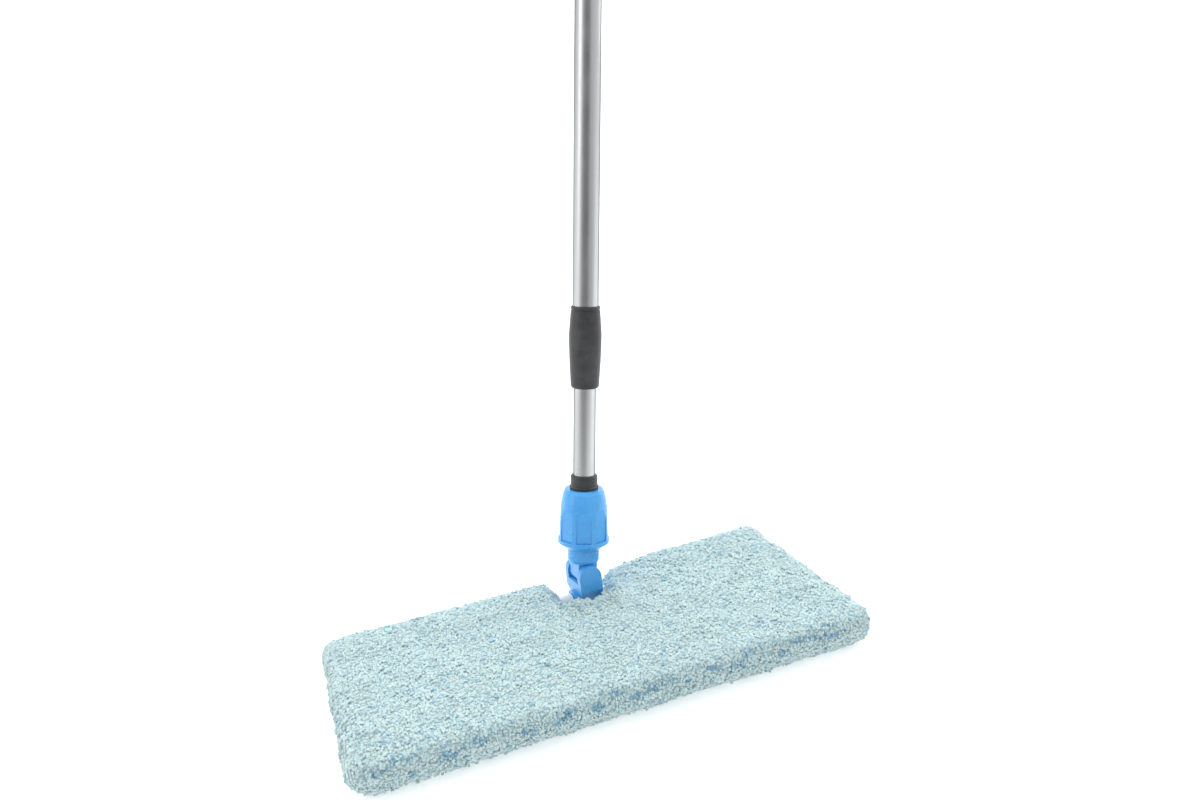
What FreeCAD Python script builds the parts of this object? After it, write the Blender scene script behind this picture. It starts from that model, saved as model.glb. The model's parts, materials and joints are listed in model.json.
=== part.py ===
"""Flat mop: a double-sided head in a plush sleeve, on a two-way joint and a telescopic pole.

Row frame, millimetres: +Z up, X along the head, +Y towards the notched rear edge where the pole stands.
The origin is on the floor, in the middle of the frame's sole. Everything on the pole is modelled upright
about the pole's axis, from the side-tilt axis at z = 0, and then placed leaning.
"""
import FreeCAD
import Part
import os
import re
import Sketcher

Vector = FreeCAD.Vector
Rotation = FreeCAD.Rotation
Placement = FreeCAD.Placement

os.makedirs("parts", exist_ok=True)
doc = FreeCAD.newDocument("flat_mop")

# ---------------------------------------------------------------- driving dimensions
SIZES = [
    # how the pole stands at rest
    ("pole_lean", 13.5, "lean towards the rear, degrees"),
    ("pole_side", 6.7, "lean towards +X, degrees"),
    # plush sleeve
    ("sleeve_front", 466, "length along the front edge"),
    ("sleeve_rear", 419, "length along the rear edge"),
    ("sleeve_depth", 174, "front edge to rear edge"),
    ("sleeve_thick", 31, "sole to top"),
    ("sleeve_shift", -15.4, "slack that the sleeve is pulled over by, along X"),
    ("sleeve_wall", 11.5, "pile and backing"),
    ("sleeve_corner", 22, "radius of the front corners in plan"),
    ("sleeve_corner_rear", 15, "radius of the rear corners in plan"),
    ("sleeve_edge", 12, "rounding of the top and bottom edges"),
    ("notch_left", -25.5, "notch side, X"),
    ("notch_right", 30, "notch side at the rear edge, X"),
    ("notch_right_in", 15, "notch side beside the joint, X"),
    ("notch_flare", 60, "the notch widens behind this, Y"),
    ("notch_front", 38, "notch bottom, Y"),
    ("notch_mouth", 16, "corner radius at the notch mouth"),
    ("notch_inside", 10, "corner radius at the notch bottom"),
    ("notch_flare_turn", 20, "radius where the notch starts to widen"),
    ("slit_inner", 42, "closure slit starts, X"),
    ("slit_outer", 152, "closure slit ends, X"),
    ("slit_gap", 3.4, "height of the closure slit"),
    ("strip_thick", 1.6, "hook or loop strip"),
    ("strip_depth", 9, "hook or loop strip, along Y"),
    # frame inside the sleeve
    ("frame_front", 404, "length along the front edge"),
    ("frame_rear", 360, "length along the rear edge"),
    ("frame_depth", 149, "front edge to rear edge"),
    ("frame_thick", 7.2, "both shells"),
    ("frame_floor", 1.6, "shell floor"),
    ("frame_rim", 2.6, "shell rim width"),
    ("frame_notch", 37, "half width of the frame's notch"),
    ("frame_notch_front", 22, "notch bottom, Y"),
    ("frame_corner", 12, "corner radius in plan"),
    ("boss_radius", 4, "screw boss"),
    ("screw_radius", 1.5, "frame screw shank"),
    ("screw_head", 2.9, "frame screw head radius"),
    # flip hinge
    ("pin_y", 59.2, "flip pin, Y"),
    ("pin_radius", 3, "flip pin"),
    ("pin_half", 46, "flip pin, half length"),
    ("knuckle_radius", 6.5, "hinge block barrel"),
    ("knuckle_inner", 13.6, "hinge block starts, X"),
    ("knuckle_outer", 48, "hinge block barrel ends, X"),
    ("tab_outer", 60, "hinge block tab ends, X"),
    ("tab_half", 10.5, "hinge block tab, half depth along Y"),
    # swivel link
    ("link_rise", 23.9, "flip axis to tilt axis"),
    ("link_half", 13, "half width of the flip barrel"),
    ("link_barrel", 9.5, "flip barrel radius"),
    ("ear_radius", 10.2, "fork ear"),
    ("ear_stem", 8.6, "half width of the ear's foot"),
    ("stem_low", 3, "the ears start to widen, above the flip axis"),
    ("stem_high", 9, "the ears have their full width, above the flip axis"),
    ("link_shoulder", 11, "the fork has its full depth, above the flip axis"),
    ("saddle_drop", 6, "floor between the ears, below the tilt axis"),
    ("fork_half", 17, "half depth over the ears"),
    ("fork_gap", 10.6, "half gap between the ears"),
    ("trunnion_radius", 4, "tilt trunnion"),
    ("trunnion_end", 13.6, "tilt trunnion, end from the middle"),
    # socket neck
    ("tongue_radius", 8.6, "barrel between the ears"),
    ("tongue_half", 10.2, "barrel, half length"),
    ("neck_foot", 10.9, "underside of the neck"),
    ("neck_radius", 13.8, "neck below the nut"),
    ("neck_thread", 14.3, "threaded stem radius"),
    ("neck_thread_low", 25, "threaded stem starts"),
    ("neck_top", 55.5, "top of the stem"),
    ("socket_floor", 19, "pole stands on this"),
    # clamp nut and collet
    ("nut_low", 23.6, "underside"),
    ("nut_lip", 28.8, "sharp edge of the lip"),
    ("nut_belt", 31.4, "top of the lip"),
    ("nut_top", 76.2, "top"),
    ("nut_lip_radius", 22.6, "lip"),
    ("nut_belt_radius", 22.1, "flutes' foot"),
    ("nut_top_radius", 17, "top"),
    ("nut_low_radius", 15.8, "underside"),
    ("flute_flat", 20.2, "flute face from the axis"),
    ("flute_half", 6.6, "flute, half width"),
    ("nut_waist", 52.5, "height where the nut starts to narrow"),
    ("nut_waist_radius", 21.5, "radius there"),
    ("nut_shoulder", 66, "height of the nut's shoulder"),
    ("nut_shoulder_radius", 19.6, "radius there"),
    ("flute_top", 59.6, "flute ends"),
    ("flute_count", 8, "flutes round the nut"),
    ("thread_gap", 0.35, "nut bore to stem"),
    ("collet_top", 88.5, "top of the collet"),
    ("collet_radius", 11.7, "collet above the nut"),
    ("collet_rim", 12.5, "collet rim on the nut"),
    ("collet_rim_top", 79.3, "top of the rim"),
    ("collet_low", 58, "underside of the collet's fingers"),
    # tubes
    ("lower_radius", 9.5, "lower tube"),
    ("upper_radius", 11, "upper tube"),
    ("tube_wall", 0.6, "both tubes"),
    ("lower_top", 658.5, "top end of the lower tube"),
    ("upper_low", 174.5, "bottom end of the upper tube"),
    ("upper_top", 814.5, "top end of the upper tube"),
    ("running_gap", 0.08, "radial clearance of a running fit"),
    # coupling and lock
    ("coupling_low", 165, "bottom of the coupling"),
    ("coupling_top", 234.5, "top of the coupling"),
    ("coupling_waist", 12.4, "radius at its ends"),
    ("coupling_belly", 13.9, "largest radius"),
    ("bush_top", 221.5, "top of the guide bush"),
    ("plug_depth", 26, "lock plug inside the lower tube"),
    ("stud_radius", 4, "lock stud"),
    ("stud_top", 706.5, "top of the lock stud"),
    ("stop_radius", 7.5, "stop on the stud's end"),
    ("expander_low", 665.5, "underside of the expander"),
    ("expander_length", 32, "expander"),
    ("expander_slot", 3, "expander's slot"),
    # top of the pole
    ("grip_low", 648.5, "bottom of the hand grip"),
    ("grip_top", 816.5, "top of the hand grip"),
    ("grip_radius", 14.2, "hand grip"),
    ("grip_groove_pitch", 12, "between the grip's grooves"),
    ("grip_grooves", 7, "grooves round the grip"),
    ("cap_top", 856.5, "top of the end cap"),
    ("cap_radius", 13, "end cap"),
    ("cap_plug", 30, "end cap's plug inside the tube"),
    ("hang_height", 839.5, "hanging hole"),
    ("hang_radius", 4, "hanging hole"),
]
sheet = doc.addObject("Spreadsheet::Sheet", "sizes")
for line, (alias, number, note) in enumerate(SIZES, start=1):
    sheet.set(f"A{line}", note)
    sheet.set(f"B{line}", str(number))
    sheet.setAlias(f"B{line}", alias)
doc.recompute()
ALIASES = {alias for alias, number, note in SIZES}


def bound(expression):
    """The expression with each size's name pointed at the sheet."""
    return re.sub(r"[a-z_]+", lambda word: f"sizes.{word[0]}" if word[0] in ALIASES else word[0],
                  expression)


def value(expression):
    """The expression's number now, in millimetres or degrees."""
    return float(sheet.evalExpression(bound(expression)))


def bind(item, **properties):
    """Tie properties of an object to size expressions."""
    for name, expression in properties.items():
        item.setExpression(name, bound(expression))
    return item


# ---------------------------------------------------------------- Part primitives
AXIS_TURN = {"X": Rotation(Vector(0, 1, 0), 90), "Y": Rotation(Vector(1, 0, 0), -90), "Z": Rotation()}


def cylinder(radius, height, at=("0", "0", "0"), along="Z"):
    item = bind(doc.addObject("Part::Cylinder", "cylinder"), Radius=radius, Height=height)
    item.Placement = Placement(Vector(), AXIS_TURN[along])
    for axis, expression in zip("xyz", at):
        item.setExpression(f"Placement.Base.{axis}", bound(expression))
    return item


def box(low, span):
    item = bind(doc.addObject("Part::Box", "box"), Length=span[0], Width=span[1], Height=span[2])
    for axis, expression in zip("xyz", low):
        item.setExpression(f"Placement.Base.{axis}", bound(expression))
    return item


def joined(*pieces):
    item = doc.addObject("Part::MultiFuse", "joined")
    item.Shapes = list(pieces)
    item.Refine = True
    return item


def cut(base, *tools):
    for tool in tools:
        result = doc.addObject("Part::Cut", "cut")
        result.Base = base
        result.Tool = tool
        base = result
    return base


def group(*pieces):
    item = doc.addObject("Part::Compound", "group")
    item.Links = list(pieces)
    return item


# ---------------------------------------------------------------- PartDesign helpers
def new_body():
    return doc.addObject("PartDesign::Body", "body")


def origin_feature(body, role):
    return next(item for item in body.Origin.OriginFeatures if item.Role == role)


def outline(body, plane, corners, offset=None):
    """A closed polygon on an origin plane. Each corner is a pair of size expressions."""
    sketch = body.newObject("Sketcher::SketchObject", "outline")
    sketch.AttachmentSupport = (origin_feature(body, plane), "")
    sketch.MapMode = "FlatFace"
    if offset:
        sketch.setExpression("AttachmentOffset.Base.z", bound(offset))
    points = [Vector(value(across), value(up), 0) for across, up in corners]
    total = len(points)
    for index, point in enumerate(points):
        sketch.addGeometry(Part.LineSegment(point, points[(index + 1) % total]), False)
    for index in range(total):
        sketch.addConstraint(Sketcher.Constraint("Coincident", index, 2, (index + 1) % total, 1))
    for index, pair in enumerate(corners):
        for kind, axis, expression in (("DistanceX", -2, pair[0]), ("DistanceY", -1, pair[1])):
            if expression == "0":
                sketch.addConstraint(Sketcher.Constraint("PointOnObject", index, 1, axis))
                continue
            number = sketch.addConstraint(Sketcher.Constraint(kind, -1, 1, index, 1, value(expression)))
            sketch.setExpression(f"Constraints[{number}]", bound(expression))
    return sketch


def pad(body, sketch, length, middle=False):
    item = bind(body.newObject("PartDesign::Pad", "pad"), Length=length)
    item.Profile = sketch
    if middle:
        item.SideType = "Symmetric"
    body.Tip = item
    doc.recompute()
    return item


def pocket(body, sketch, length=None, middle=False, reverse=False):
    """Cut a sketch through the body and make sure that it removed something."""
    before = body.Shape.Volume
    item = body.newObject("PartDesign::Pocket", "pocket")
    item.Profile = sketch
    if length:
        bind(item, Length=length)
    else:
        item.Type = "ThroughAll"
    if middle:
        item.SideType = "Symmetric"
    item.Reversed = reverse
    body.Tip = item
    doc.recompute()
    assert body.Shape.Volume < before - 1, f"{item.Name} cuts nothing"
    return item


def turned(body, corners):
    """Revolve a polygon of (radius, height) corners about the body's Z axis."""
    sketch = outline(body, "XZ_Plane", corners)
    item = body.newObject("PartDesign::Revolution", "turned")
    item.Profile = sketch
    item.ReferenceAxis = (sketch, ["V_Axis"])
    item.Angle = 360
    body.Tip = item
    doc.recompute()
    return body


def round_edges(body, radius, chosen):
    """Fillet the edges of the body's tip for which chosen(edge) is true."""
    edges = body.Tip.Shape.Edges
    names = [f"Edge{number}" for number, edge in enumerate(edges, start=1) if chosen(edge)]
    assert names, "no edge to round"
    base = body.Tip
    item = bind(body.newObject("PartDesign::Fillet", "rounded"), Radius=radius)
    item.Base = (base, names)
    body.Tip = item
    doc.recompute()
    return item


def repeated(body, feature, count):
    """Repeat a feature round the body's Z axis."""
    item = body.newObject("PartDesign::PolarPattern", "repeated")
    item.Originals = [feature]
    item.Axis = (origin_feature(body, "Z_Axis"), [""])
    item.Angle = 360
    bind(item, Occurrences=count)
    body.Tip = item
    doc.recompute()
    return item


# ---------------------------------------------------------------- naming, placing, writing
PIECES = {}
FLIP_PIVOT = Vector(0, value("pin_y"), value("sleeve_thick / 2"))
LINK_TURN = Rotation(Vector(1, 0, 0), -value("pole_lean"))
LINK_PLACE = Placement(FLIP_PIVOT, LINK_TURN)
TILT_PIVOT = LINK_PLACE.multVec(Vector(0, 0, value("link_rise")))
POLE_PLACE = Placement(TILT_PIVOT, LINK_TURN * Rotation(Vector(0, 1, 0), value("pole_side")))
HEAD_PLACE = Placement()
FRAME_SOLE = Vector(0, 0, value("(sleeve_thick - frame_thick) / 2"))
FRAME_TOP = Vector(0, 0, value("(sleeve_thick + frame_thick) / 2"))


def piece(label, item, place):
    """Name a finished sub-part and put it where it belongs."""
    item.Label = label
    item.Placement = place
    PIECES[label] = item


def vertical(edge):
    first, last = edge.Vertexes[0].Point, edge.Vertexes[-1].Point
    return abs(first.z - last.z) > 1 and (first - last).cross(Vector(0, 0, 1)).Length < 1e-6


def level(edge, height):
    return all(abs(point.Point.z - height) < 1e-6 for point in edge.Vertexes)


# ---------------------------------------------------------------- head: plush sleeve
def tapered_outline(front, rear, depth, shift, notch):
    """A plan that narrows towards the rear, with a notch in its rear edge given from right to left."""
    return [
        (f"{shift} - {front} / 2", f"-{depth} / 2"), (f"{shift} + {front} / 2", f"-{depth} / 2"),
        (f"{shift} + {rear} / 2", f"{depth} / 2"), *notch, (f"{shift} - {rear} / 2", f"{depth} / 2"),
    ]


def square_notch(half, bottom, depth):
    return [(half, f"{depth} / 2"), (half, bottom), (f"-{half}", bottom), (f"-{half}", f"{depth} / 2")]


def corner_test(outer):
    """Chooses the upright edges of the four outer corners, or of the notch."""
    reach = value("slit_inner")
    return lambda edge: vertical(edge) and (abs(edge.Vertexes[0].Point.x) > reach) == outer


def plush_cover():
    body = new_body()
    notch = [
        ("notch_right", "sleeve_depth / 2"), ("notch_right_in", "notch_flare"),
        ("notch_right_in", "notch_front"), ("notch_left", "notch_front"),
        ("notch_left", "sleeve_depth / 2"),
    ]
    plan = tapered_outline("sleeve_front", "sleeve_rear", "sleeve_depth", "sleeve_shift", notch)
    pad(body, outline(body, "XY_Plane", plan), "sleeve_thick")
    for radius, outer, start, end in (
        ("sleeve_corner", True, "-sleeve_depth", "0"),
        ("sleeve_corner_rear", True, "0", "sleeve_depth"),
        ("notch_inside", False, "0", "notch_flare - 1"),
        ("notch_flare_turn", False, "notch_flare - 1", "notch_flare + 1"),
        ("notch_mouth", False, "notch_flare + 1", "sleeve_depth"),
    ):
        wanted, low, high = corner_test(outer), value(start), value(end)
        round_edges(body, radius, lambda edge: wanted(edge) and low < edge.Vertexes[0].Point.y < high)
    round_edges(body, "sleeve_edge", lambda edge: level(edge, 0) or level(edge, value("sleeve_thick")))

    hollow = new_body()
    inner = tapered_outline("(sleeve_front - 2 * sleeve_wall)", "(sleeve_rear - 2 * sleeve_wall)",
                            "(sleeve_depth - 2 * sleeve_wall)", "sleeve_shift",
                            square_notch("(frame_notch - 0.8)", "(frame_notch_front + 0.8)",
                                         "(sleeve_depth - 2 * sleeve_wall)"))
    pad(hollow, outline(hollow, "XY_Plane", inner), "frame_thick + 0.8")
    hollow.setExpression("Placement.Base.z", bound("(sleeve_thick - frame_thick - 0.8) / 2"))

    knuckle_way = cylinder("knuckle_radius + 0.6", "2 * knuckle_outer + 4",
                           ("-knuckle_outer - 2", "pin_y", "sleeve_thick / 2"), "X")
    slits = [box((start, "sleeve_depth / 2 - sleeve_wall - 1", "(sleeve_thick - slit_gap) / 2"),
                 ("slit_outer - slit_inner", "sleeve_wall + 2", "slit_gap"))
             for start in ("slit_inner", "-slit_outer")]
    piece("plush_cover", cut(body, hollow, knuckle_way, *slits), HEAD_PLACE)


def closure_strips():
    """A hook strip under a loop strip in each slit of the rear edge."""
    for side, start in (("left", "-slit_outer + 1"), ("right", "slit_inner + 1")):
        for kind, under in (("hook", "sleeve_thick / 2 - strip_thick"), ("loop", "sleeve_thick / 2")):
            strip = box((start, "sleeve_depth / 2 - sleeve_wall + 0.5", under),
                        ("slit_outer - slit_inner - 2", "strip_depth", "strip_thick"))
            piece(f"closure_{kind}_{side}", group(strip), HEAD_PLACE)


# ---------------------------------------------------------------- head: frame
SCREW_PLACES = [
    (across, along)
    for along in ("-frame_depth / 2 + 12", "frame_depth / 2 - 12")
    for across in ("-frame_rear / 2 + 16", "-frame_rear / 4", "frame_rear / 4", "frame_rear / 2 - 16")
] + [("-frame_notch - 8", "frame_notch_front + 4"), ("frame_notch + 8", "frame_notch_front + 4")]


def frame_shell(upper):
    """Half of the frame: a floor with a rim and screw bosses. The halves meet in the middle plane."""
    body = new_body()
    plan = tapered_outline("frame_front", "frame_rear", "frame_depth", "0",
                           square_notch("frame_notch", "frame_notch_front", "frame_depth"))
    pad(body, outline(body, "XY_Plane", plan), "frame_thick / 2")
    round_edges(body, "frame_corner", corner_test(True))
    inner = tapered_outline("(frame_front - 2 * frame_rim)", "(frame_rear - 2 * frame_rim)",
                            "(frame_depth - 2 * frame_rim)", "0",
                            square_notch("(frame_notch + frame_rim)", "(frame_notch_front - frame_rim)",
                                         "(frame_depth - 2 * frame_rim)"))
    inside = new_body()
    pad(inside, outline(inside, "XY_Plane", inner), "frame_thick")
    round_edges(inside, "frame_corner - frame_rim", corner_test(True))
    inside.setExpression("Placement.Base.z", bound("frame_floor"))
    bosses = [cylinder("boss_radius", "frame_thick / 2", (x, y, "0")) for x, y in SCREW_PLACES]
    hole_start = "frame_floor" if upper else "-1"
    holes = [cylinder("screw_radius + 0.1", "frame_thick / 2 + 2", (x, y, hole_start))
             for x, y in SCREW_PLACES]
    if not upper:
        holes += [cylinder("screw_head + 0.2", "1.4", (x, y, "0")) for x, y in SCREW_PLACES]
    block_ways = []
    for start in ("-tab_outer - 0.3", "frame_notch - 1"):
        block_ways.append(box((start, "pin_y - tab_half - 0.3", "frame_floor"),
                              ("tab_outer - frame_notch + 1.3", "2 * tab_half + 0.6", "frame_thick")))
    for start in ("-knuckle_outer - 0.5", "frame_notch - 1"):
        block_ways.append(box((start, "pin_y - knuckle_radius - 0.4", "-1"),
                              ("knuckle_outer - frame_notch + 1.5", "2 * knuckle_radius + 0.8",
                               "frame_thick")))
    shell = cut(joined(cut(body, inside), *bosses), group(*holes), group(*block_ways[:2]),
                group(*block_ways[2:]))
    if upper:
        piece("frame_upper_shell", shell, Placement(FRAME_TOP, Rotation(Vector(0, 1, 0), 180)))
    else:
        piece("frame_lower_shell", shell, Placement(FRAME_SOLE, Rotation()))


def frame_screws():
    screws = [joined(cylinder("screw_radius", "frame_thick - frame_floor - 1.6", (x, y, "1.2")),
                     cylinder("screw_head", "1.2", (x, y, "0.1"))) for x, y in SCREW_PLACES]
    piece("frame_screws", group(*screws), Placement(FRAME_SOLE, Rotation()))


def hinge_blocks():
    """Barrels that hold the flip pin, each with a tab gripped between the shells."""
    for side, turn in (("right", 0), ("left", 180)):
        barrel = cylinder("knuckle_radius", "knuckle_outer - knuckle_inner",
                          ("knuckle_inner", "0", "0"), "X")
        tab = box(("frame_notch + 0.4", "-tab_half", "-(frame_thick / 2 - frame_floor)"),
                  ("tab_outer - frame_notch - 0.4", "2 * tab_half", "frame_thick - 2 * frame_floor"))
        bore = cylinder("pin_radius + 0.05", "pin_half + 0.5 - knuckle_inner + 1",
                        ("knuckle_inner - 1", "0", "0"), "X")
        piece(f"hinge_block_{side}", cut(joined(barrel, tab), bore),
              Placement(FLIP_PIVOT, Rotation(Vector(0, 0, 1), turn)))


def flip_pin():
    pin = cylinder("pin_radius", "2 * pin_half", ("-pin_half", "pin_y", "sleeve_thick / 2"), "X")
    piece("flip_pin", group(pin), HEAD_PLACE)


# ---------------------------------------------------------------- two-way joint
def swivel_link():
    """A barrel on the flip pin that carries a fork of two ears for the side tilt."""
    fork = new_body()
    side = [("-link_barrel", "0"), ("link_barrel", "0"), ("fork_half", "link_shoulder"),
            ("fork_half", "link_rise"), ("-fork_half", "link_rise"), ("-fork_half", "link_shoulder")]
    pad(fork, outline(fork, "YZ_Plane", side), "2 * ear_radius", middle=True)
    taper = [("ear_stem", "stem_low"), ("ear_radius", "stem_high"), ("ear_radius + 2", "stem_high"),
             ("ear_radius + 2", "stem_low")]
    mirrored = [(f"-({across})", up) for across, up in taper]
    pocket(fork, outline(fork, "XZ_Plane", taper), middle=True)
    pocket(fork, outline(fork, "XZ_Plane", mirrored), middle=True)
    ear_tops = cylinder("ear_radius", "2 * fork_half", ("0", "-fork_half", "link_rise"), "Y")
    barrel = cylinder("link_barrel", "2 * link_half", ("-link_half", "0", "0"), "X")
    gap = box(("-ear_radius - 4", "-fork_gap", "link_rise - saddle_drop"),
              ("2 * ear_radius + 8", "2 * fork_gap", "ear_radius + saddle_drop + 4"))
    saddle = cylinder("tongue_radius + 0.6", "2 * fork_gap", ("0", "-fork_gap", "link_rise"), "Y")
    pin_bore = cylinder("pin_radius + 0.06", "2 * link_half + 2", ("-link_half - 1", "0", "0"), "X")
    trunnion_bore = cylinder("trunnion_radius + 0.06", "2 * trunnion_end + 0.6",
                             ("0", "-trunnion_end - 0.3", "link_rise"), "Y")
    link = cut(joined(fork, ear_tops, barrel), gap, saddle, pin_bore, trunnion_bore)
    piece("swivel_link", link, LINK_PLACE)


def socket_neck():
    """A tongue with trunnions under a threaded stem that the pole stands in."""
    stem = turned(new_body(), [
        ("0", "neck_foot"), ("neck_radius - 1", "neck_foot"), ("neck_radius", "neck_foot + 2"),
        ("neck_radius", "neck_thread_low"), ("neck_thread", "neck_thread_low + 1.5"),
        ("neck_thread", "neck_top - 1"), ("neck_thread - 1", "neck_top"), ("lower_radius + 3", "neck_top"),
        ("lower_radius + 0.1", "neck_top - 8"), ("lower_radius + 0.1", "socket_floor"),
        ("0", "socket_floor"),
    ])
    barrel = cylinder("tongue_radius", "2 * tongue_half", ("0", "-tongue_half", "0"), "Y")
    web = box(("-tongue_radius", "-tongue_half", "0"),
              ("2 * tongue_radius", "2 * tongue_half", "neck_foot + 1"))
    trunnions = cylinder("trunnion_radius", "2 * trunnion_end", ("0", "-trunnion_end", "0"), "Y")
    piece("socket_neck", joined(stem, barrel, web, trunnions), POLE_PLACE)


# ---------------------------------------------------------------- pole clamp
def clamp_nut():
    """A conical nut with flat flutes above a lip, bevelled below."""
    body = turned(new_body(), [
        ("nut_low_radius", "nut_low"), ("nut_lip_radius", "nut_lip"), ("nut_lip_radius - 0.2", "nut_belt"),
        ("nut_belt_radius", "nut_belt + 1.5"), ("nut_waist_radius", "nut_waist"),
        ("nut_shoulder_radius", "nut_shoulder"),
        ("nut_top_radius + 0.9", "nut_top - 2.5"), ("nut_top_radius - 0.6", "nut_top"),
        ("collet_radius + 0.6", "nut_top"), ("collet_radius + 0.6", "nut_top - 6"),
        ("neck_thread + thread_gap", "neck_top + 6"), ("neck_thread + thread_gap", "nut_low + 3"),
        ("neck_thread + thread_gap + 0.4", "nut_low"),
    ])
    face = outline(body, "XZ_Plane", [
        ("-flute_half", "nut_belt + 0.6"), ("flute_half", "nut_belt + 0.6"), ("flute_half", "flute_top"),
        ("-flute_half", "flute_top"),
    ], "flute_flat")
    flute = pocket(body, face, "6", reverse=True)
    repeated(body, flute, "flute_count")
    piece("clamp_nut", body, POLE_PLACE * Placement(Vector(), Rotation(Vector(0, 0, 1), -22.5)))


def clamp_collet():
    """A split plastic collet that the nut squeezes on to the lower tube."""
    body = turned(new_body(), [
        ("lower_radius + 0.05", "collet_low"), ("lower_radius + 1.4", "collet_low"),
        ("collet_radius - 0.2", "nut_top - 8"), ("collet_radius", "nut_top + 0.3"),
        ("collet_rim", "nut_top + 0.3"), ("collet_rim", "collet_rim_top - 0.5"),
        ("collet_radius", "collet_rim_top"),
        ("collet_radius", "collet_top - 1"), ("collet_radius - 0.8", "collet_top"),
        ("lower_radius + 0.05", "collet_top"),
    ])
    slot = outline(body, "XZ_Plane", [("-0.6", "collet_low - 1"), ("0.6", "collet_low - 1"),
                                      ("0.6", "nut_top - 4"), ("-0.6", "nut_top - 4")])
    pocket(body, slot, middle=True)
    piece("clamp_collet", body, POLE_PLACE)


# ---------------------------------------------------------------- telescopic pole
def tube(radius, low, top):
    length = f"{top} - {low}"
    return cut(cylinder(radius, length, ("0", "0", low)),
               cylinder(f"{radius} - tube_wall", f"{length} + 2", ("0", "0", f"{low} - 1")))


def lower_pole():
    piece("lower_tube", tube("lower_radius", "socket_floor", "lower_top"), POLE_PLACE)
    bore = "lower_radius - tube_wall - 0.02"
    plug = turned(new_body(), [
        ("0", "lower_top - plug_depth"), (f"{bore} - 0.8", "lower_top - plug_depth"),
        (bore, "lower_top - plug_depth + 2"), (bore, "lower_top"), ("lower_radius", "lower_top"),
        ("lower_radius", "lower_top + 2.5"), ("stud_radius + 0.02", "lower_top + 2.5"),
        ("stud_radius + 0.02", "lower_top - 18"), ("0", "lower_top - 18"),
    ])
    piece("lock_plug", plug, POLE_PLACE)
    stud = cylinder("stud_radius", "stud_top - lower_top + 18", ("0", "0", "lower_top - 18"))
    piece("lock_stud", group(stud), POLE_PLACE)
    stop = turned(new_body(), [
        ("stud_radius + 0.02", "stud_top - 5"), ("stop_radius", "stud_top - 5"),
        ("stop_radius", "stud_top - 1"), ("stop_radius - 1", "stud_top"),
        ("stud_radius + 0.02", "stud_top"),
    ])
    piece("lock_end_stop", stop, POLE_PLACE)


def lock_expander():
    """A split ring that opens against the upper tube's bore when the pole is twisted."""
    outer = "upper_radius - tube_wall - running_gap"
    body = turned(new_body(), [
        ("stud_radius + running_gap", "expander_low"), (f"{outer} - 0.8", "expander_low"),
        (outer, "expander_low + 2"), (outer, "expander_low + expander_length - 2"),
        (f"{outer} - 0.8", "expander_low + expander_length"),
        ("stud_radius + running_gap", "expander_low + expander_length"),
    ])
    slot = outline(body, "XZ_Plane", [
        ("0", "expander_low - 1"), ("upper_radius", "expander_low - 1"),
        ("upper_radius", "expander_low + expander_length + 1"), ("0", "expander_low + expander_length + 1"),
    ])
    pocket(body, slot, "expander_slot", middle=True)
    piece("lock_expander", body, POLE_PLACE)


def upper_pole():
    piece("upper_tube", tube("upper_radius", "upper_low", "upper_top"), POLE_PLACE)
    inner = "upper_radius - tube_wall - 0.02"
    bush = turned(new_body(), [
        ("lower_radius + running_gap", "coupling_low + 3"), ("upper_radius", "coupling_low + 3"),
        ("upper_radius", "upper_low"), (inner, "upper_low"), (inner, "bush_top"),
        ("lower_radius + running_gap", "bush_top"),
    ])
    piece("guide_bush", bush, POLE_PLACE)
    coupling = turned(new_body(), [
        ("lower_radius + 0.4", "coupling_low"), ("coupling_waist - 1.2", "coupling_low"),
        ("coupling_waist - 0.3", "coupling_low + 1.5"), ("coupling_waist + 0.1", "coupling_low + 8"),
        ("coupling_belly - 0.6", "coupling_low + 22"), ("coupling_belly", "coupling_low + 40"),
        ("coupling_belly", "coupling_low + 46"), ("coupling_waist + 0.4", "coupling_top - 8"),
        ("coupling_waist + 0.15", "coupling_top - 4"), ("coupling_waist - 0.35", "coupling_top - 3.6"),
        ("coupling_waist - 0.35", "coupling_top - 2.9"), ("coupling_waist", "coupling_top - 2.5"),
        ("coupling_waist", "coupling_top - 0.6"), ("coupling_waist - 0.5", "coupling_top"),
        ("upper_radius + 0.02", "coupling_top"), ("upper_radius + 0.02", "coupling_low + 2.9"),
        ("lower_radius + 0.4", "coupling_low + 2.9"),
    ])
    piece("coupling_sleeve", coupling, POLE_PLACE)


def hand_grip():
    """A soft grip with rings pressed in its surface."""
    body = turned(new_body(), [
        ("upper_radius + 0.02", "grip_low"), ("grip_radius - 1.6", "grip_low"),
        ("grip_radius - 0.6", "grip_low + 3"),
        ("grip_radius", "grip_low + 12"), ("grip_radius", "grip_top - 3"), ("grip_radius - 1", "grip_top"),
        ("upper_radius + 0.02", "grip_top"),
    ])
    rings = [doc.addObject("Part::Torus", "ring") for number in range(int(value("grip_grooves")))]
    for number, ring in enumerate(rings):
        bind(ring, Radius1="grip_radius + 0.4", Radius2="1.2")
        ring.setExpression("Placement.Base.z", bound(f"grip_low + 30 + {number} * grip_groove_pitch"))
    piece("hand_grip", cut(body, group(*rings)), POLE_PLACE)


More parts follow.
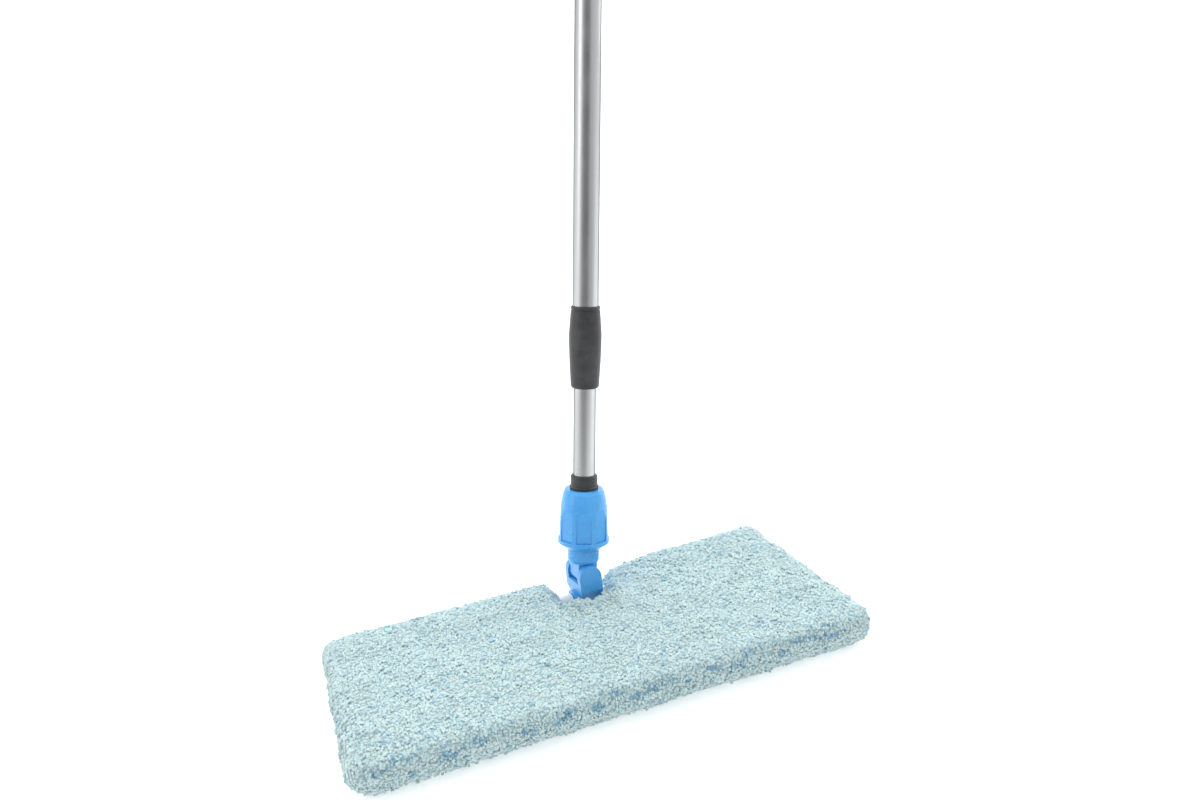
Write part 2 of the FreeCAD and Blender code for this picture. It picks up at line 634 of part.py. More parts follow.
def end_cap():
    """A domed cap with a cross hole to hang the mop by."""
    inner = "upper_radius - tube_wall - 0.02"
    body = turned(new_body(), [
        ("0", "upper_top - cap_plug"), (f"{inner} - 1", "upper_top - cap_plug"),
        (inner, "upper_top - cap_plug + 2"), (inner, "upper_top"), ("upper_radius", "upper_top"),
        ("upper_radius", "grip_top"), ("cap_radius", "grip_top"), ("cap_radius", "cap_top - 12"),
        ("cap_radius - 1.6", "cap_top - 6"), ("cap_radius - 5", "cap_top - 1.5"),
        ("cap_radius - 9", "cap_top"), ("0", "cap_top"),
    ])
    hole = cylinder("hang_radius", "2 * cap_radius + 2", ("-cap_radius - 1", "0", "hang_height"), "X")
    piece("end_cap", cut(body, hole), POLE_PLACE)


# ---------------------------------------------------------------- build, check, write
plush_cover()
closure_strips()
frame_shell(upper=False)
frame_shell(upper=True)
frame_screws()
hinge_blocks()
flip_pin()
swivel_link()
socket_neck()
clamp_nut()
clamp_collet()
lower_pole()
lock_expander()
upper_pole()
hand_grip()
end_cap()
doc.recompute()

for item in doc.Objects:
    assert not {"Invalid", "Error"} & set(item.State), f"{item.Label}: {item.State}"
for label, item in PIECES.items():
    assert not item.Shape.isNull() and item.Shape.isValid(), f"{label} has a bad shape"
for label, item in PIECES.items():
    item.Shape.exportStep(f"parts/{label}.step")
    print(f"{label}: {len(item.Shape.Solids)} solid(s), {item.Shape.Volume / 1000:.2f} cm3")
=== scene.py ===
"""Looks of the flat mop: plush sleeve, moulded plastic, drawn tubes and soft grip, on the CAD frame."""
import json
import math

import bmesh
import bpy
import numpy as np
from mathutils import Matrix, Vector


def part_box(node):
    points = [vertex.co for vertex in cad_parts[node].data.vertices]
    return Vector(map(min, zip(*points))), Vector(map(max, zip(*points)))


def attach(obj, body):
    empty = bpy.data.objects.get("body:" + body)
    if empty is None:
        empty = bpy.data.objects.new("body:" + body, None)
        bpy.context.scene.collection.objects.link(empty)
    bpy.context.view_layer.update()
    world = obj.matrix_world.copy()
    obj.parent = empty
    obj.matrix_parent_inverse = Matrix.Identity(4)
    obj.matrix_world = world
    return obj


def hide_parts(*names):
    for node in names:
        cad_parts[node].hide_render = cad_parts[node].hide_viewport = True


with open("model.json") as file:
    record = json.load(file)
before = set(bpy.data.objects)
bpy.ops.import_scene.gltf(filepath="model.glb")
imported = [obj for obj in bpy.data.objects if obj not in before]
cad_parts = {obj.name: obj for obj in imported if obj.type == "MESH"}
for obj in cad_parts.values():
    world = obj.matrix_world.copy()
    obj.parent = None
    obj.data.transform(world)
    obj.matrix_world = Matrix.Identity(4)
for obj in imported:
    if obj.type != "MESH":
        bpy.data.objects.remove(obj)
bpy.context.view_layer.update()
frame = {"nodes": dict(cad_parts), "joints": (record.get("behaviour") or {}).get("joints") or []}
NODES = frame["nodes"]
JOINTS = {joint["name"]: joint for joint in frame["joints"]}
MM = 0.001

# ---------------------------------------------------------------- places worked out from the frame
POLE_AXIS = Vector(JOINTS["nut_turn"]["axis"]).normalized()
TILT_AXIS = Vector(JOINTS["side_tilt"]["axis"]).normalized()
POLE_FRAME = Matrix((TILT_AXIS.cross(POLE_AXIS), TILT_AXIS, POLE_AXIS)).transposed()
SLEEVE_LOW, SLEEVE_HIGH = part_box("plush_cover")

# sleeve plan, in metres. The notch's left side is straight, and its right one widens behind NOTCH_FLARE.
FRONT_EDGE, REAR_EDGE = SLEEVE_LOW.y, SLEEVE_HIGH.y
NOTCH_LEFT, NOTCH_RIGHT, NOTCH_BESIDE = -0.0255, 0.030, 0.0125
NOTCH_FLARE, NOTCH_FRONT = 0.062, 0.040
REAR_LEFT, REAR_RIGHT = -0.2305, 0.187

# each corner's X and Y and its radius, from the front left one round to the rear left one
PLAN = [
    (SLEEVE_LOW.x, FRONT_EDGE, 0.022), (SLEEVE_HIGH.x, FRONT_EDGE, 0.022), (REAR_RIGHT, REAR_EDGE, 0.014),
    (NOTCH_RIGHT, REAR_EDGE, 0.018), (NOTCH_BESIDE, NOTCH_FLARE, 0.020), (NOTCH_BESIDE, NOTCH_FRONT, 0.010),
    (NOTCH_LEFT, NOTCH_FRONT, 0.012), (NOTCH_LEFT, REAR_EDGE, 0.015), (REAR_LEFT, REAR_EDGE, 0.016),
]
MIDDLE = (SLEEVE_LOW.x + SLEEVE_HIGH.x) / 2
TACKS = {"outer": Vector((-0.174, 0.0760, 0.0262)), "inner": Vector((-0.035, 0.0765, 0.0262))}


# ---------------------------------------------------------------- node helpers
class Finish:
    """A material with one Principled shader: numbers go on its sockets, node outputs are linked to them."""

    def __init__(self, name, **sockets):
        self.material = bpy.data.materials.new(name)
        self.material.use_nodes = True
        self.tree = self.material.node_tree
        self.shader = self.tree.nodes["Principled BSDF"]
        self.set(self.shader, **sockets)

    def set(self, node, **sockets):
        """Fill a node's inputs. An underscore in a name stands for a space."""
        for name, value in sockets.items():
            socket = node.inputs[name.replace("_", " ")]
            if isinstance(value, bpy.types.NodeSocket):
                self.tree.links.new(value, socket)
            else:
                socket.default_value = (*value, 1.0) if socket.type == "RGBA" and len(value) == 3 else value
        return node

    def add(self, kind, settings=None, **sockets):
        """A new shader node of this kind, with its settings and its inputs."""
        node = self.tree.nodes.new("ShaderNode" + kind)
        for name, value in (settings or {}).items():
            setattr(node, name, value)
        return self.set(node, **sockets)

    def place(self, scale=(1, 1, 1), turned=False):
        """Object coordinates, scaled, and turned so that Z runs up the pole if asked."""
        vector = self.add("TexCoord").outputs["Object"]
        if turned:
            upright = POLE_FRAME.transposed().to_euler()
            vector = self.add("Mapping", Vector=vector, Rotation=upright).outputs[0]
        return self.add("Mapping", Vector=vector, Scale=scale).outputs[0]

    def noise(self, vector, scale, detail=3.0, roughness=0.55):
        node = self.add("TexNoise", Vector=vector, Scale=scale, Detail=detail, Roughness=roughness)
        return node.outputs["Fac"]

    def cells(self, vector, scale):
        """Distance from the middle of small random cells."""
        return self.add("TexVoronoi", Vector=vector, Scale=scale).outputs["Distance"]

    def span(self, factor, low, high, start=0.0, end=1.0):
        """Stretch a factor's start..end to low..high."""
        node = self.add("MapRange", Value=factor)
        for name, value in (("From Min", start), ("From Max", end), ("To Min", low), ("To Max", high)):
            node.inputs[name].default_value = value
        return node.outputs[0]

    def blend(self, factor, dark, light):
        """A colour between these two."""
        node = self.add("Mix", {"data_type": "RGBA"})
        factor_socket, dark_socket, light_socket = node.inputs[0], node.inputs[6], node.inputs[7]
        self.tree.links.new(factor, factor_socket)
        dark_socket.default_value = (*dark, 1.0)
        light_socket.default_value = (*light, 1.0)
        return node.outputs[2]

    def bump(self, height, strength, distance, under=None):
        node = self.add("Bump", Height=height, Strength=strength, Distance=distance)
        if under:
            self.tree.links.new(under, node.inputs["Normal"])
        return node.outputs["Normal"]


# ---------------------------------------------------------------- materials
def drawn_metal():
    """Satin aluminium tube: fine lines along the pole, faint marks of handling."""
    finish = Finish("drawn_aluminium", Metallic=1.0)
    lines = finish.noise(finish.place((900, 900, 6), turned=True), 1.0, 2.0)
    bands = finish.noise(finish.place((110, 110, 1.5), turned=True), 1.0, 1.0)
    marks = finish.noise(finish.place(), 60.0, 5.0, 0.6)
    colour = finish.blend(finish.span(bands, 0.0, 1.0, 0.3, 0.7), (0.32, 0.33, 0.33), (0.54, 0.55, 0.55))
    finish.set(finish.shader, Base_Color=colour, Roughness=finish.span(marks, 0.27, 0.38, 0.3, 0.7),
               Specular_Tint=(0.10, 0.10, 0.11), Normal=finish.bump(lines, 0.12, 0.0002))
    return finish.material


def gloss_plastic(name, dark, light, rough=(0.22, 0.34)):
    """Injection moulded plastic: faint flow clouds, fine orange peel, worn matt spots, small scratches."""
    finish = Finish(name, IOR=1.46)
    place = finish.place()
    clouds = finish.noise(place, 45.0, 3.0)
    peel = finish.noise(place, 900.0, 2.0)
    wear = finish.noise(place, 160.0, 6.0, 0.65)
    scratch = finish.noise(finish.place((2200, 300, 300)), 1.0, 2.0)
    colour = finish.blend(finish.span(clouds, 0.0, 1.0, 0.3, 0.7), dark, light)
    under = finish.bump(peel, 0.10, 0.0002)
    finish.set(finish.shader, Base_Color=colour, Roughness=finish.span(wear, rough[0], rough[1], 0.35, 0.7),
               Normal=finish.bump(scratch, 0.05, 0.0001, under))
    return finish.material


def black_plastic():
    """Satin black plastic with a fine spark-eroded grain and dusty greyer patches."""
    finish = Finish("black_plastic", IOR=1.46)
    place = finish.place()
    grain = finish.noise(place, 2600.0, 2.0)
    dust = finish.noise(place, 90.0, 5.0, 0.6)
    colour = finish.blend(finish.span(dust, 0.0, 1.0, 0.4, 0.75), (0.020, 0.020, 0.022),
                          (0.045, 0.045, 0.048))
    finish.set(finish.shader, Base_Color=colour, Roughness=finish.span(dust, 0.36, 0.52, 0.3, 0.7),
               Normal=finish.bump(grain, 0.25, 0.0002))
    return finish.material


def grip_rubber():
    """Soft-touch rubber with a stippled skin."""
    finish = Finish("grip_rubber", IOR=1.5, Sheen_Weight=0.15, Sheen_Roughness=0.5)
    place = finish.place()
    stipple = finish.cells(place, 1100.0)
    dust = finish.noise(place, 70.0, 4.0)
    colour = finish.blend(finish.span(dust, 0.0, 1.0, 0.35, 0.7), (0.025, 0.026, 0.028),
                          (0.055, 0.056, 0.06))
    finish.set(finish.shader, Base_Color=colour, Roughness=finish.span(dust, 0.62, 0.8, 0.3, 0.7),
               Normal=finish.bump(stipple, 0.35, 0.0003))
    return finish.material


def plated_steel():
    """Zinc-plated steel with turned lines and a cloudy plating."""
    finish = Finish("plated_steel", Metallic=1.0)
    place = finish.place()
    clouds = finish.noise(place, 200.0, 4.0)
    turned = finish.noise(finish.place((300, 300, 3000)), 1.0, 1.0)
    colour = finish.blend(finish.span(clouds, 0.0, 1.0, 0.3, 0.7), (0.52, 0.52, 0.50), (0.66, 0.66, 0.65))
    finish.set(finish.shader, Base_Color=colour, Roughness=finish.span(clouds, 0.3, 0.45, 0.3, 0.7),
               Normal=finish.bump(turned, 0.1, 0.0001))
    return finish.material


def closure_tape():
    """Woven hook and loop tape with its tiny stubs."""
    finish = Finish("closure_tape", Roughness=0.9, Sheen_Weight=0.3, Sheen_Roughness=0.5)
    place = finish.place()
    stubs = finish.cells(place, 1400.0)
    weave = finish.noise(finish.place((700, 2400, 2400)), 1.0, 2.0)
    colour = finish.blend(weave, (0.55, 0.66, 0.68), (0.80, 0.86, 0.87))
    finish.set(finish.shader, Base_Color=colour, Normal=finish.bump(stubs, 0.7, 0.0006))
    return finish.material


def pile_yarn(name, dark, light):
    """Twisted microfibre yarn: fine fibres, a soft sheen, and tufts that were dyed a little darker."""
    finish = Finish(name, Roughness=0.92, Sheen_Weight=0.35, Sheen_Roughness=0.45,
                    Sheen_Tint=(0.9, 0.97, 1.0), Specular_IOR_Level=0.25)
    place = finish.place()
    tuft = finish.noise(place, 230.0, 2.0)
    fibres = finish.noise(place, 2400.0, 3.0, 0.7)
    colour = finish.blend(finish.span(tuft, 0.0, 1.0, 0.32, 0.68), dark, light)
    finish.set(finish.shader, Base_Color=colour, Normal=finish.bump(fibres, 0.5, 0.0006))
    return finish.material


MATERIALS = {
    "tube": drawn_metal(),
    "blue": gloss_plastic("blue_plastic", (0.065, 0.34, 0.74), (0.085, 0.40, 0.82)),
    "frame": gloss_plastic("frame_plastic", (0.06, 0.22, 0.50), (0.08, 0.27, 0.56), (0.4, 0.55)),
    "white": gloss_plastic("white_plastic", (0.72, 0.76, 0.77), (0.79, 0.82, 0.83), (0.35, 0.5)),
    "black": black_plastic(),
    "rubber": grip_rubber(),
    "steel": plated_steel(),
    "tape": closure_tape(),
    # the backing is painted lighter than the yarn: painted light that fills the shade in the gaps between
    # the tufts
    "backing": pile_yarn("pile_backing", (0.62, 0.79, 0.80), (0.66, 0.82, 0.83)),
    "pale": pile_yarn("pile_pale", (0.50, 0.67, 0.68), (0.54, 0.70, 0.71)),
    "cream": pile_yarn("pile_cream", (0.54, 0.69, 0.69), (0.58, 0.72, 0.71)),
    "blue_yarn": pile_yarn("pile_blue", (0.33, 0.53, 0.61), (0.41, 0.59, 0.66)),
    # dark blue yarn for single flecks, and for the front fold clusters, where its colour is partly painted
    # shade
    "dark_yarn_and_painted_shade": pile_yarn("pile_dark_blue_and_painted_shade", (0.16, 0.36, 0.50), (0.25, 0.44, 0.58)),
    "teal": pile_yarn("pile_teal", (0.05, 0.42, 0.40), (0.12, 0.58, 0.54)),
}


def paint(item, material):
    """Give an object this one material."""
    item.data.materials.clear()
    item.data.materials.append(MATERIALS[material])
    return item


def new_piece(name, mesh, material, body):
    """Put a mesh made here into the scene, on the body that it moves with."""
    item = bpy.data.objects.new(name, mesh)
    bpy.context.scene.collection.objects.link(item)
    paint(item, material)
    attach(item, body)
    return item


# ---------------------------------------------------------------- CAD nodes that stay
CAD_FINISHES = {
    "tube": ["lower_tube", "upper_tube"],
    "blue": ["swivel_link", "socket_neck", "clamp_nut"],
    "black": ["clamp_collet", "coupling_sleeve", "guide_bush", "lock_plug", "lock_expander", "end_cap"],
    "rubber": ["hand_grip"],
    "white": ["hinge_block_left", "hinge_block_right"],
    "steel": ["flip_pin", "frame_screws", "lock_stud", "lock_end_stop"],
    "frame": ["frame_upper_shell", "frame_lower_shell"],
    "tape": ["closure_hook_left", "closure_loop_left", "closure_hook_right", "closure_loop_right"],
}
for material, nodes in CAD_FINISHES.items():
    for node in nodes:
        paint(NODES[node], material)


# ---------------------------------------------------------------- plush sleeve: body
PILE_ROOM = 2.4 * MM  # the backing lies this far inside the CAD solid
SOLE_ROUNDING, TOP_ROUNDING = 12 * MM, 11 * MM
VOXEL = 4.0 * MM
STUFFING, STUFFING_REACH, STUFFING_STEPS = 4.0, 1.5 * MM, 16
SOLE_GAP = 1.2 * MM  # room for the pressed pile between the backing and the floor

# how far the soft sleeve leaves its flat slab
ARCH = 4.5 * MM  # front edge off the floor, at its middle
SLOPE = 3.0 * MM  # the top climbs towards +X
LIP, LIP_MORE = 5.5 * MM, 2.5 * MM  # pile pushed up in front of the joint, and more of it on the right
LIP_LEFT = 5.0 * MM  # pile pushed up in front of the left hinge block
DROOP = 8.0 * MM  # the top sinks beside the notch, at the rear right
JOINT_X, JOINT_REACH = -0.004, 0.026  # stretch of the notch's front that the joint stands behind


def hump(value, centre, width, power=2):
    """1 at the centre, falling smoothly to 0 on both sides over about this width."""
    return np.exp(-((value - centre) / width) ** power)


def climb(value, start, width):
    """0 up to the start, then evenly up to 1 over this width."""
    return np.clip((value - start) / width, 0, 1)


def inset_plan(corners, inset):
    """The corners moved inwards by this much, with the radii kept in step."""
    moved = []
    for index, (x, y, radius) in enumerate(corners):
        here = Vector((x, y))
        before = (here - Vector(corners[index - 1][:2])).normalized()
        after = (Vector(corners[(index + 1) % len(corners)][:2]) - here).normalized()
        inward = (Vector((-before.y, before.x)) + Vector((-after.y, after.x))).normalized()
        turn = before.x * after.y - before.y * after.x
        here += inward * inset / math.cos(before.angle(after) / 2)
        moved.append((here.x, here.y, radius - inset if turn > 0 else radius + inset))
    return moved


def rounded_plan(corners, steps=6):
    """A closed plan with each (x, y, radius) corner turned into an arc."""
    points = []
    for index, (x, y, radius) in enumerate(corners):
        here = Vector((x, y))
        before = (Vector(corners[index - 1][:2]) - here).normalized()
        after = (Vector(corners[(index + 1) % len(corners)][:2]) - here).normalized()
        half = before.angle(after) / 2
        reach = radius / math.tan(half)
        first, last = here + before * reach, here + after * reach
        centre = here + (before + after).normalized() * radius / math.sin(half)
        for step in range(steps + 1):
            point = (first - centre).lerp(last - centre, step / steps).normalized() * radius + centre
            points.append((point.x, point.y))
    return points


def sleeve_body(inset):
    """The sleeve without its pile, as a rounded slab: inset is how far it lies inside the CAD solid."""
    shape = bmesh.new()
    low, high = SLEEVE_LOW.z + inset * 0.7, SLEEVE_HIGH.z - inset
    ring = [shape.verts.new((x, y, low)) for x, y in rounded_plan(inset_plan(PLAN, inset))]
    base = shape.faces.new(ring)
    top = bmesh.ops.extrude_face_region(shape, geom=[base])
    for corner in (item for item in top["geom"] if isinstance(item, bmesh.types.BMVert)):
        corner.co.z = high
    bmesh.ops.recalc_face_normals(shape, faces=shape.faces)
    for height, rounding in ((low, SOLE_ROUNDING), (high, TOP_ROUNDING)):
        rims = [edge for edge in shape.edges
                if all(abs(point.co.z - height) < 1e-6 for point in edge.verts)]
        bmesh.ops.bevel(shape, geom=rims, offset=rounding, segments=6, profile=0.5, affect="EDGES",
                        clamp_overlap=True)
    mesh = bpy.data.meshes.new("plush_sleeve")
    shape.to_mesh(mesh)
    shape.free()
    return mesh


def applied(item):
    """Replace an object's mesh by what its modifiers make of it."""
    graph = bpy.context.evaluated_depsgraph_get()
    mesh = bpy.data.meshes.new_from_object(item.evaluated_get(graph), depsgraph=graph)
    item.modifiers.clear()
    item.data = mesh
    return item


def remeshed(item, size):
    """Rebuild an object's mesh from voxels of this size."""
    modifier = item.modifiers.new("voxels", "REMESH")
    modifier.mode = "VOXEL"
    modifier.voxel_size = size
    return applied(item)


def vectors_of(items, name):
    """One vector property of all vertices or faces, as rows."""
    flat = np.empty(len(items) * 3, np.float32)
    items.foreach_get(name, flat)
    return flat.reshape(-1, 3).astype(float)


def points_of(mesh):
    return vectors_of(mesh.vertices, "co")


def stuffed(item, pressure, cap):
    """Let cloth under pressure fill the sleeve out, and cap how far any point may move."""
    start = points_of(item.data).copy()
    cloth = item.modifiers.new("cloth", "CLOTH")
    cloth.settings.quality = 4
    cloth.settings.use_pressure = True
    cloth.settings.uniform_pressure_force = pressure
    cloth.settings.effector_weights.gravity = 0
    cloth.settings.tension_stiffness = 25
    cloth.settings.bending_stiffness = 3
    cloth.collision_settings.use_collision = False
    scene = bpy.context.scene
    for step in range(1, STUFFING_STEPS + 1):
        scene.frame_set(step)
    applied(item)
    moved = points_of(item.data) - start
    far = np.linalg.norm(moved, axis=1, keepdims=True)
    moved *= np.minimum(1.0, cap / np.maximum(far, 1e-9))
    item.data.vertices.foreach_set("co", (start + moved).ravel())
    scene.frame_set(1)
    return item


def waves(points, length, seed):
    """Smooth bumps, from -1 to 1, with about this wavelength."""
    draw = np.random.default_rng(seed)
    total = np.zeros(len(points))
    for turn in range(10):
        direction = draw.normal(size=3)
        direction *= 2 * math.pi / (np.linalg.norm(direction) * length * draw.uniform(0.7, 1.4))
        total += np.sin(points @ direction + draw.uniform(0, 6.3))
    return total / 4.5


def sag_and_swell(points):
    """How far each point of the soft sleeve rises from the flat slab: see ARCH to DROOP."""
    across, along, share = points[:, 0], points[:, 1], points[:, 2] / SLEEVE_HIGH.z
    arch = ARCH * np.clip(1 - ((across - MIDDLE) / 0.235) ** 2, 0, 1)
    arch *= 1 - climb(along, FRONT_EDGE + 0.002, 0.020)
    slope = SLOPE * np.clip(across / 0.15, -1.6, 1) * climb(along, -0.02, 0.10)
    lip = LIP + LIP_MORE * climb(across, -0.006, 0.010)
    lip *= hump(along, 0.034, 0.010) * hump(across, JOINT_X, JOINT_REACH, 4)
    lip += LIP_LEFT * hump(along, 0.036, 0.010) * hump(across, -0.020, 0.009)
    droop = DROOP * hump(across, 0.018, 0.032) * climb(across, 0.004, 0.006) * hump(along, REAR_EDGE, 0.032)
    return arch * (1 - share) + (slope + lip - droop) * np.clip(share, 0, 1)


def build_sleeve():
    """The backing of the plush sleeve, filled out, lumpy and sagging."""
    sleeve = bpy.data.objects.new("plush_sleeve", sleeve_body(PILE_ROOM))
    bpy.context.scene.collection.objects.link(sleeve)
    remeshed(sleeve, VOXEL)
    stuffed(sleeve, STUFFING, STUFFING_REACH)
    finer = sleeve.modifiers.new("finer", "SUBSURF")
    finer.levels = finer.render_levels = 1
    applied(sleeve)
    mesh = sleeve.data
    points = points_of(mesh)
    normals = vectors_of(mesh.vertices, "normal")
    lumps = 0.8 * MM * waves(points, 0.045, 3) + 0.6 * MM * waves(points, 0.014, 4)
    points += normals * lumps[:, None]
    points[:, 2] += sag_and_swell(points)
    points[:, 2] = np.maximum(points[:, 2], SOLE_GAP)
    mesh.vertices.foreach_set("co", points.astype(np.float32).ravel())
    mesh.update()
    paint(sleeve, "backing")
    return sleeve


# ---------------------------------------------------------------- plush sleeve: pile
SIDES = 4
TUFT_LENGTH, TUFT_WIDTH = 1.9 * MM, 3.0 * MM
ROOT_DEPTH = 0.8 * MM  # how deep a tuft stands in the backing
FACING_DOWN = -0.6  # a normal's Z below which the pile belongs to the sole
CLUSTERS = 26  # of blue and dark blue tufts along the front fold: dyed spots, and partly painted shade on the fold
BLUE_FLECK, DARK_FLECK = 0.65, 1.7  # where in the scatter the flecks begin


def unit(vectors):
    return vectors / np.linalg.norm(vectors, axis=1, keepdims=True)


def tufts(roots, normals, seed):
    """Bent tufts on the given roots: their points, their shading normals, and the faces of one tuft.

    They are longer round the notch and shorter on top, and a few anywhere stand out.
    """
    draw = np.random.default_rng(seed)
    count = len(roots)
    comb = np.stack([waves(roots, 0.03, 41), waves(roots, 0.03, 42), waves(roots, 0.03, 43)], axis=1)
    lean = draw.normal(size=(count, 3)) + comb
    lean = unit(lean - normals * np.sum(lean * normals, axis=1, keepdims=True))
    near = hump(roots[:, 1], NOTCH_FRONT, 0.010) * hump(roots[:, 0], JOINT_X, JOINT_REACH, 4)
    near += hump(roots[:, 1], 0.052, 0.014) * hump(roots[:, 0], NOTCH_LEFT, 0.004)
    upward = np.clip(normals[:, 2:], 0, 1)
    tall = (TUFT_LENGTH * draw.uniform(0.75, 1.2, count) * (1 + 1.4 * np.minimum(near, 1)))[:, None]
    tall *= np.where(draw.uniform(size=(count, 1)) < 0.08, 1.8, 1.0) * (1 - 0.3 * upward)
    thick = (TUFT_WIDTH * draw.uniform(0.8, 1.25, count))[:, None]
    slant = draw.uniform(0.3, 0.9, count)[:, None]
    side = np.cross(normals, lean)
    foot = roots - normals * ROOT_DEPTH
    bend = roots + normals * tall * 0.62 + lean * slant * tall * 0.6
    tip = roots + normals * tall * 0.86 + lean * slant * tall * 1.0
    points, shading = [], []
    for centre, ahead, share in ((foot, unit(bend - foot), 0.9), (bend, unit(tip - foot), 0.9)):
        across = np.cross(ahead, side)
        for turn in range(SIDES):
            angle = 2 * math.pi * turn / SIDES
            spoke = side * math.cos(angle) + across * math.sin(angle)
            points.append(centre + spoke * thick * share / 2)
            shading.append(unit(spoke * 0.25 + normals))
    points.append(tip)
    shading.append(unit(unit(tip - bend) * 0.2 + normals))
    faces = [(turn, (turn + 1) % SIDES, (turn + 1) % SIDES + SIDES, turn + SIDES) for turn in range(SIDES)]
    faces += [(SIDES + turn, SIDES + (turn + 1) % SIDES, 2 * SIDES) for turn in range(SIDES)]
    return np.stack(points, axis=1), np.stack(shading, axis=1), faces


def pile_mesh(name, roots, normals, seed):
    """One mesh of tufts, none of them under the floor."""
    points, shading, faces = tufts(roots, normals, seed)
    count, each = points.shape[:2]
    draw = np.random.default_rng(seed + 1)
    points[:, :, 2] = np.maximum(points[:, :, 2], 0.15 * MM * draw.uniform(0, 1, (count, 1)))
    shift = (np.arange(count) * each)[:, None, None]
    corners, sizes = [], []
    for number in (4, 3):
        shape = np.array([face for face in faces if len(face) == number])
        corners.append((shape[None] + shift).ravel())
        sizes.append(np.full(count * len(shape), number))
    corners, sizes = np.concatenate(corners), np.concatenate(sizes)
    mesh = bpy.data.meshes.new(name)
    mesh.vertices.add(count * each)
    mesh.vertices.foreach_set("co", points.astype(np.float32).ravel())
    mesh.loops.add(len(corners))
    mesh.loops.foreach_set("vertex_index", corners.astype(np.int32))
    mesh.polygons.add(len(sizes))
    starts = np.concatenate([[0], np.cumsum(sizes)[:-1]])
    mesh.polygons.foreach_set("loop_start", starts.astype(np.int32))
    mesh.update(calc_edges=True)
    mesh.validate()
    mesh.shade_smooth()
    mesh.normals_split_custom_set_from_vertices(shading.reshape(-1, 3).astype(np.float32))
    return mesh


def pile_lots(roots, draw):
    """Which tufts are dyed dark or light blue, cream or pale aqua.

    Blue ones lie in single flecks all over and in small clusters on the front fold. The clusters, with
    their dark tufts, are partly painted shade that darkens the front fold.
    """
    count = len(roots)
    fleck = 0.95 * waves(roots * np.array([0.8, 1.0, 0.8]), 0.005, 51) + draw.normal(size=count) * 0.4
    fleck += 0.3 * waves(roots, 0.02, 52)
    over_fold = roots[:, 1] - FRONT_EDGE + roots[:, 2] - SLEEVE_HIGH.z
    cluster = np.zeros(count)
    for centre in np.linspace(SLEEVE_LOW.x + 0.02, SLEEVE_HIGH.x - 0.04, CLUSTERS):
        across, around = centre + draw.normal() * 8 * MM, draw.uniform(-5, 7) * MM
        wide, tall = draw.uniform(4, 8) * MM, draw.uniform(2, 3.5) * MM
        cluster += hump(roots[:, 0], across, wide) * hump(over_fold, around, tall)
    cluster = np.where(roots[:, 1] < FRONT_EDGE + 0.03, cluster, 0)
    chance = draw.uniform(size=count)
    # the dark tufts in the front fold clusters are partly painted shade
    dark = (chance < 0.55 * cluster) | (fleck > DARK_FLECK)
    blue = ~dark & ((chance < cluster + 0.01) | (fleck > BLUE_FLECK))
    cream = ~dark & ~blue & (draw.uniform(size=count) < 0.5)
    return {"dark_yarn_and_painted_shade": dark, "blue_yarn": blue, "cream": cream, "pale": ~(dark | blue | cream)}


def build_pile(sleeve):
    """Tufts over the whole sleeve: thinned out below, where the weight presses the pile flat."""
    draw = np.random.default_rng(11)
    roots = vectors_of(sleeve.data.polygons, "center")
    normals = vectors_of(sleeve.data.polygons, "normal")
    roots += draw.normal(size=roots.shape) * 0.45 * MM
    below = normals[:, 2] < FACING_DOWN
    keep = ~(below & (draw.uniform(size=len(roots)) < 0.4))
    roots, normals, below = roots[keep], normals[keep], below[keep]
    for number, (lot, chosen) in enumerate(pile_lots(roots, draw).items()):
        for area, part in (("top", chosen & ~below), ("sole", chosen & below)):
            if not part.any():
                continue
            name = f"pile_{lot}_{area}"
            new_piece(name, pile_mesh(name, roots[part], normals[part], 20 + number), lot, "head")


def build_tacks():
    """Two teal bar tacks on the rear edge, at the ends of the left closure slit, each of seven stitches."""
    stitch = Matrix.Diagonal((0.7 * MM, 2.4 * MM, 0.9 * MM, 1))
    pitch = 0.9 * MM
    for side, place in TACKS.items():
        shape = bmesh.new()
        for turn in range(7):
            bar = bmesh.ops.create_icosphere(shape, subdivisions=2, radius=1.0)["verts"]
            lean = Matrix.Rotation(math.radians(18 * (-1) ** turn), 4, "Z")
            shift = Matrix.Translation(place + Vector(((turn - 3) * pitch, 0, 0)))
            bmesh.ops.transform(shape, matrix=shift @ lean @ stitch, verts=bar)
        mesh = bpy.data.meshes.new(f"tack_{side}")
        shape.to_mesh(mesh)
        shape.free()
        mesh.shade_smooth()
        new_piece(f"tack_{side}", mesh, "teal", "head")


sleeve = build_sleeve()
build_pile(sleeve)
build_tacks()
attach(sleeve, "head")
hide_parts("plush_cover")


# ---------------------------------------------------------------- floor, light and camera
DARK_SIDE = (-0.50, -0.84, 0.20)  # the unlit end of the studio, in front of the mop


def soft_box(name, place, aim, size, power):
    """A rectangular studio lamp that points at a place."""
    lamp = bpy.data.lights.new(name, "AREA")
    lamp.shape = "RECTANGLE"
    lamp.size, lamp.size_y = size
    lamp.energy = power
    item = bpy.data.objects.new(name, lamp)
    item.location = place
    item.rotation_euler = (Vector(aim) - Vector(place)).to_track_quat("-Z", "Y").to_euler()
    bpy.context.scene.collection.objects.link(item)


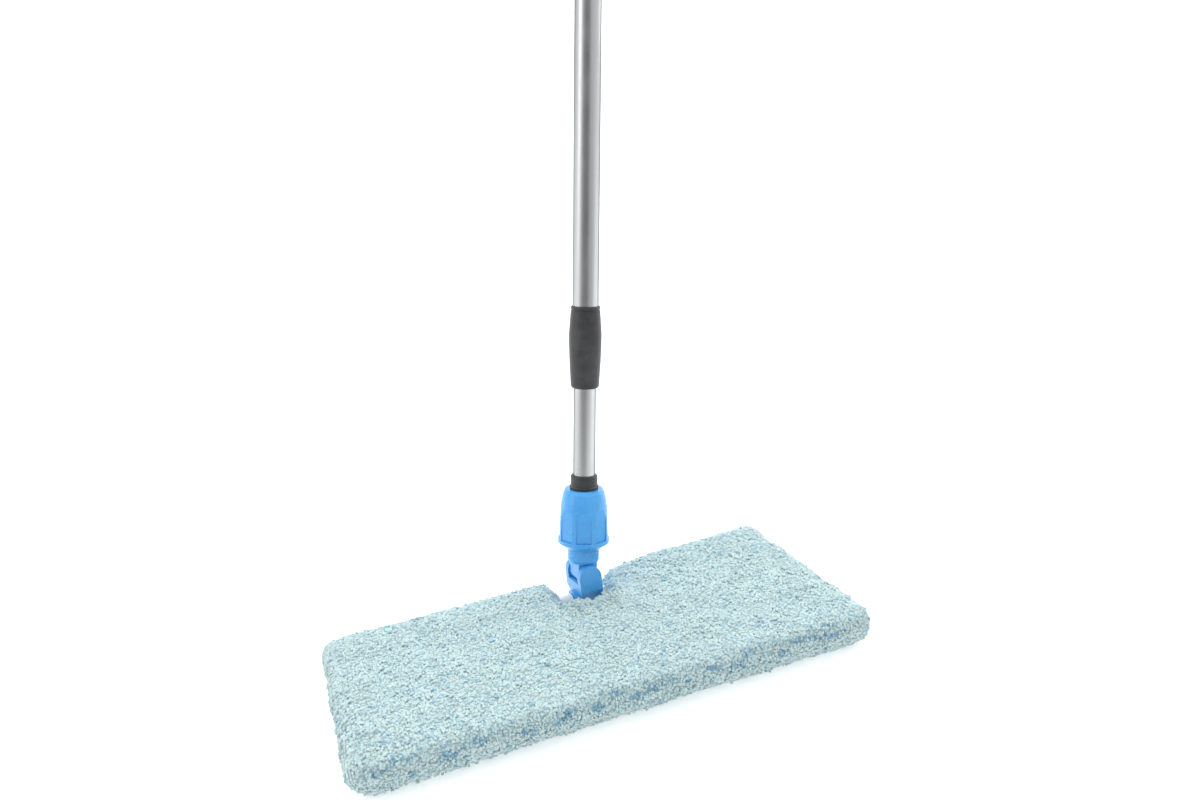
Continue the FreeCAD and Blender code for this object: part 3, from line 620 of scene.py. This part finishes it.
def build_stage():
    """White floor, white studio with an unlit end, and four soft boxes."""
    floor = Finish("studio_floor", Roughness=0.9, Emission_Color=(1.0, 1.0, 1.0), Emission_Strength=0.4)
    tone = floor.noise(floor.place(), 3.0, 3.0)
    floor.set(floor.shader, Base_Color=floor.blend(tone, (0.88, 0.88, 0.88), (0.90, 0.90, 0.90)))
    mesh = bpy.data.meshes.new("floor")
    mesh.from_pydata([(-30, -30, 0), (30, -30, 0), (30, 30, 0), (-30, 30, 0)], [], [(0, 1, 2, 3)])
    item = bpy.data.objects.new("floor", mesh)
    item.data.materials.append(floor.material)
    bpy.context.scene.collection.objects.link(item)
    world = bpy.data.worlds.new("studio")
    world.use_nodes = True
    tree = world.node_tree
    facing = tree.nodes.new("ShaderNodeVectorMath")
    facing.operation = "DOT_PRODUCT"
    facing.inputs[1].default_value = DARK_SIDE
    tree.links.new(tree.nodes.new("ShaderNodeTexCoord").outputs["Generated"], facing.inputs[0])
    fade = tree.nodes.new("ShaderNodeMapRange")
    fade.interpolation_type = "SMOOTHSTEP"
    for name, number in (("From Min", 0.72), ("From Max", 0.95), ("To Min", 1.0), ("To Max", 0.36)):
        fade.inputs[name].default_value = number
    tree.links.new(facing.outputs["Value"], fade.inputs["Value"])
    backdrop = tree.nodes["Background"]
    backdrop.inputs["Color"].default_value = (0.97, 0.98, 1.0, 1.0)
    tree.links.new(fade.outputs["Result"], backdrop.inputs["Strength"])
    bpy.context.scene.world = world
    soft_box("overhead", (-0.3, 0.9, 2.4), (0, 0.1, 0), (2.4, 2.0), 8)
    soft_box("left", (-1.9, 0.2, 1.1), (0, 0, 0.3), (0.9, 1.6), 7)
    soft_box("right", (1.9, 0.5, 1.2), (0, 0, 0.4), (0.9, 1.6), 12)
    soft_box("background", (1.6, 5.5, 4.0), (1.6, 5.2, 0), (7.0, 6.0), 300)
    bpy.context.scene.view_settings.view_transform = "Standard"


def build_camera():
    """Stands in front and to the left of the head, about 0.9 m away, and looks down on it."""
    camera = bpy.data.objects.new("camera", bpy.data.cameras.new("camera"))
    camera.data.lens = 33
    camera.data.sensor_width = 36
    camera.location = (-0.3166, -0.6721, 0.5998)
    camera.rotation_euler = (math.radians(90 - 26.1), 0, math.radians(-24.3))
    bpy.context.scene.collection.objects.link(camera)
    bpy.context.scene.camera = camera


build_stage()
build_camera()
